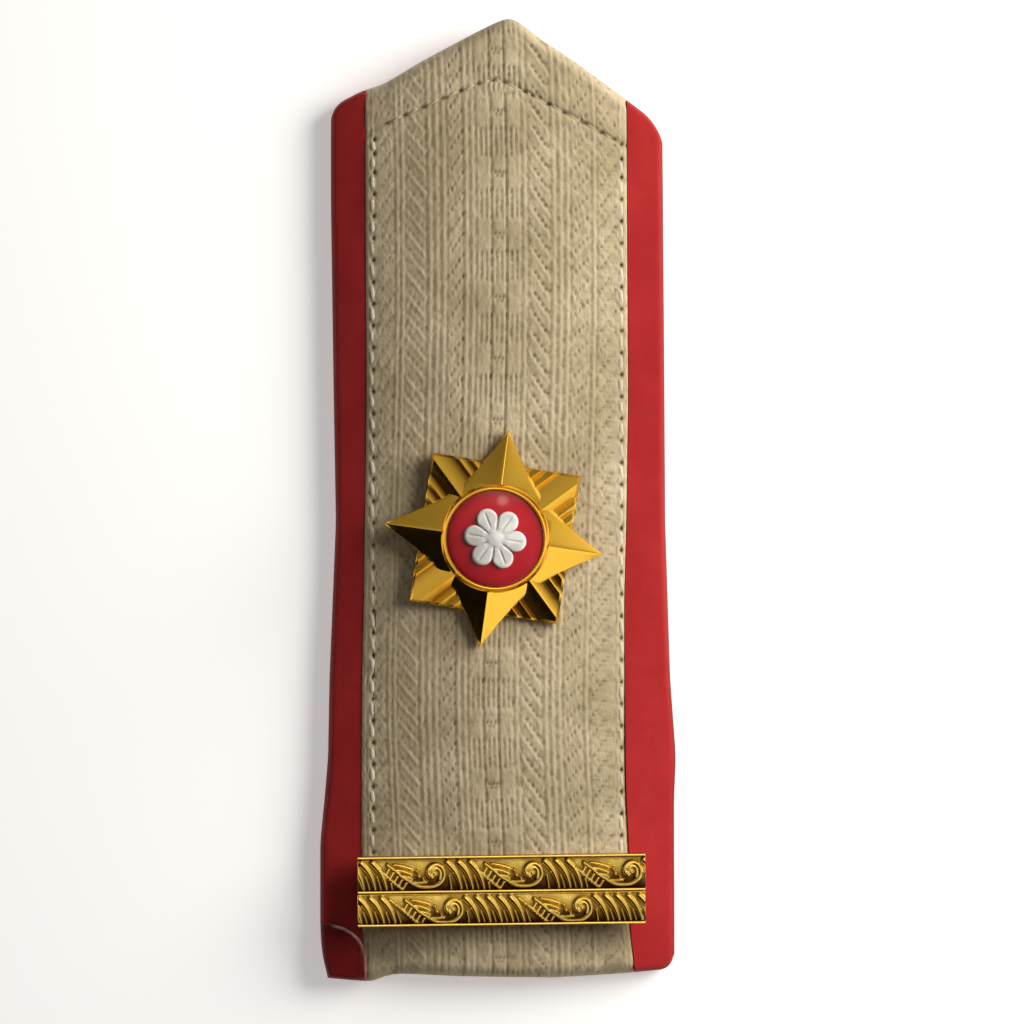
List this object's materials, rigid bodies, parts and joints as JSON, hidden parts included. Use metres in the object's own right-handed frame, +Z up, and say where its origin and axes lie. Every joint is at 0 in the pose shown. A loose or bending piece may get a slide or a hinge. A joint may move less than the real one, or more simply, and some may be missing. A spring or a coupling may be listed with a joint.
{
  "type": "shoulder board",
  "caption": "Stiff arched shoulder board in red cloth with a patterned cream braid, a gold star with a red enamel disc, and gold rank bars in cast relief.",
  "frame": {"origin": "middle of the board's length and width, on the plane that its long edges rest on", "axes": "+Y towards the pointed end, +Z up out of the decorated face, +X to the right seen from above with the point up"},
  "size_m": [0.05, 0.1348, 0.013],
  "materials": {
    "red_cloth": "fine closely woven red cloth over padding",
    "braid": "cream jacquard braid with raised ribs and leaves",
    "gold_metal": "bright polished gilt",
    "red_enamel": "glossy fired enamel",
    "white_enamel": "glossy raised enamel",
    "nut_metal": "plain turned metal",
    "strap_cloth": "plain dark red tape"
  },
  "bodies": {
    "root": {"board": "red_cloth", "corner_tuck": "red_cloth", "ribbon": "braid", "star": "gold_metal", "enamel_disc": "red_enamel", "enamel_rosette": "white_enamel", "bar_upper": "gold_metal", "bar_lower": "gold_metal", "star_nut": "nut_metal", "back_strap": "strap_cloth"}
  },
  "joints": []
}
